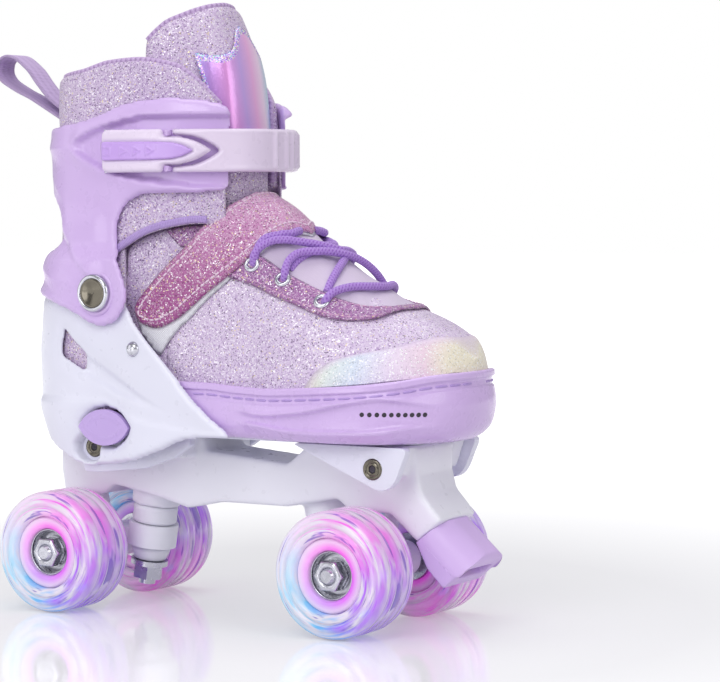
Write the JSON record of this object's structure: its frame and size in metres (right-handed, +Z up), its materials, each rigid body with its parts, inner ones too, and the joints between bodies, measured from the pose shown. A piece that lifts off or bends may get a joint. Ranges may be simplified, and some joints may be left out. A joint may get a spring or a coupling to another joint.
{
  "type": "quad roller skate",
  "caption": "Child's quad roller skate with a soft boot in a rigid shell, a leaning ratchet-strap cuff, a sliding toe cup for size, sprung trucks and light-up wheels",
  "frame": {"origin": "on the ground under the middle of the wheelbase, on the middle plane of the skate", "axes": "+X points to the toe, +Y to the inner side of the foot, +Z up"},
  "size_m": [0.2745, 0.1096, 0.288],
  "materials": {
    "tyre_clear": "clear cast polyurethane lit from inside in pink, violet and cyan",
    "hub_white": "moulded white nylon",
    "lamp": "lamp ring with bright diodes",
    "steel": "zinc plated steel",
    "rivet": "polished pale gold plating",
    "dark_steel": "dark plated spring steel",
    "shell_white": "smooth white moulding with a cool tint",
    "truck_white": "white glass-filled nylon",
    "cushion": "soft lilac polyurethane",
    "lilac": "smooth lilac moulding",
    "stop": "lilac brake rubber",
    "pale_lilac": "smooth pale lilac moulding",
    "violet": "smooth violet moulding",
    "glitter": "lilac glitter fabric",
    "liner": "soft knit lining",
    "insole_felt": "felt faced foam",
    "magenta": "magenta glitter fabric with a stitched border",
    "webbing": "woven webbing",
    "white_webbing": "white woven strip",
    "pastel": "pastel iridescent film",
    "badge": "iridescent film with a silver border",
    "lace": "round braided cord"
  },
  "bodies": {
    "base": {"heel_shell": "shell_white", "chassis": "shell_white", "frame_bolts": "rivet", "toe_stop": "stop", "toe_stop_bolt": "steel", "kingpins": "steel", "kingpin_nuts": "steel", "pivot_cups": "cushion", "ankle_rivets": "rivet", "shell_rivets": "rivet", "insole": "insole_felt", "inner_boot": "liner", "instep_pad": "glitter", "instep_strap": "magenta", "strap_anchors": "white_webbing"},
    "toe": {"toe_cup": "lilac", "vamp": "glitter", "toe_cap": "pastel", "eyestays": "magenta", "eyelets": "rivet", "laces": "lace"},
    "button": {"size_button": "lilac", "button_spring": "steel"},
    "cuff": {"cuff": "lilac", "collar": "glitter", "tongue": "glitter", "tongue_badge": "badge", "pull_loop": "webbing", "strap_pins": "steel", "ratchet_base": "dark_steel"},
    "strap": {"ankle_strap": "pale_lilac"},
    "lever": {"buckle_lever": "pale_lilac", "lever_insert": "violet"},
    "release": {"ratchet_release": "pale_lilac"},
    "truck_rear": {"hanger_rear": "truck_white", "axle_rear": "steel", "axle_nuts_rear": "steel", "spacers_rear": "steel", "cushions_rear": "cushion"},
    "wheel_rear_outer": {"tyre_rear_outer": "tyre_clear", "hub_rear_outer": "hub_white", "lights_rear_outer": "lamp", "bearings_rear_outer": "steel"},
    "wheel_rear_inner": {"tyre_rear_inner": "tyre_clear", "hub_rear_inner": "hub_white", "lights_rear_inner": "lamp", "bearings_rear_inner": "steel"},
    "truck_front": {"hanger_front": "truck_white", "axle_front": "steel", "axle_nuts_front": "steel", "spacers_front": "steel", "cushions_front": "cushion"},
    "wheel_front_outer": {"tyre_front_outer": "tyre_clear", "hub_front_outer": "hub_white", "lights_front_outer": "lamp", "bearings_front_outer": "steel"},
    "wheel_front_inner": {"tyre_front_inner": "tyre_clear", "hub_front_inner": "hub_white", "lights_front_inner": "lamp", "bearings_front_inner": "steel"}
  },
  "joints": [
    {"name": "toe_size", "type": "slide", "parent": "base", "child": "toe", "axis": [1, 0, 0], "range_m": [0, 0.02]},
    {"name": "size_button_press", "type": "slide", "parent": "base", "child": "button", "axis": [0, 1, 0], "range_m": [0, 0.003], "stiffness_N_per_m": 800, "springref_m": -0.001, "deforming": ["button_spring"]},
    {"name": "cuff_lean", "type": "hinge", "parent": "base", "child": "cuff", "pos_m": [-0.05, 0, 0.153], "axis": [0, 1, 0], "range_deg": [-3, 4], "stiffness_Nm_per_rad": 12},
    {"name": "strap_swing", "type": "hinge", "parent": "cuff", "child": "strap", "pos_m": [-0.043, -0.04635, 0.219], "axis": [0, 0, -1], "range_deg": [0, 20]},
    {"name": "lever_lift", "type": "hinge", "parent": "strap", "child": "lever", "pos_m": [-0.043, -0.04635, 0.219], "axis": [0, 0, -1], "range_deg": [0, 85]},
    {"name": "ratchet_press", "type": "hinge", "parent": "cuff", "child": "release", "pos_m": [-0.046, 0.0546, 0.219], "axis": [0, 0, 1], "range_deg": [0, 20], "stiffness_Nm_per_rad": 0.15, "springref_deg": -5.73},
    {"name": "steer_rear", "type": "hinge", "parent": "base", "child": "truck_rear", "pos_m": [-0.05232, 0, 0.03438], "axis": [-0.8139, 0, 0.581], "range_deg": [-5, 5], "stiffness_Nm_per_rad": 30, "deforming": ["cushions_rear"]},
    {"name": "spin_rear_outer", "type": "hinge", "parent": "truck_rear", "child": "wheel_rear_outer", "pos_m": [-0.079, -0.036, 0.029], "axis": [0, 1, 0], "continuous": true},
    {"name": "spin_rear_inner", "type": "hinge", "parent": "truck_rear", "child": "wheel_rear_inner", "pos_m": [-0.079, 0.036, 0.029], "axis": [0, 1, 0], "continuous": true},
    {"name": "steer_front", "type": "hinge", "parent": "base", "child": "truck_front", "pos_m": [0.05232, 0, 0.03438], "axis": [0.8139, 0, 0.581], "range_deg": [-5, 5], "stiffness_Nm_per_rad": 30, "deforming": ["cushions_front"]},
    {"name": "spin_front_outer", "type": "hinge", "parent": "truck_front", "child": "wheel_front_outer", "pos_m": [0.079, -0.036, 0.029], "axis": [0, 1, 0], "continuous": true},
    {"name": "spin_front_inner", "type": "hinge", "parent": "truck_front", "child": "wheel_front_inner", "pos_m": [0.079, 0.036, 0.029], "axis": [0, 1, 0], "continuous": true}
  ]
}
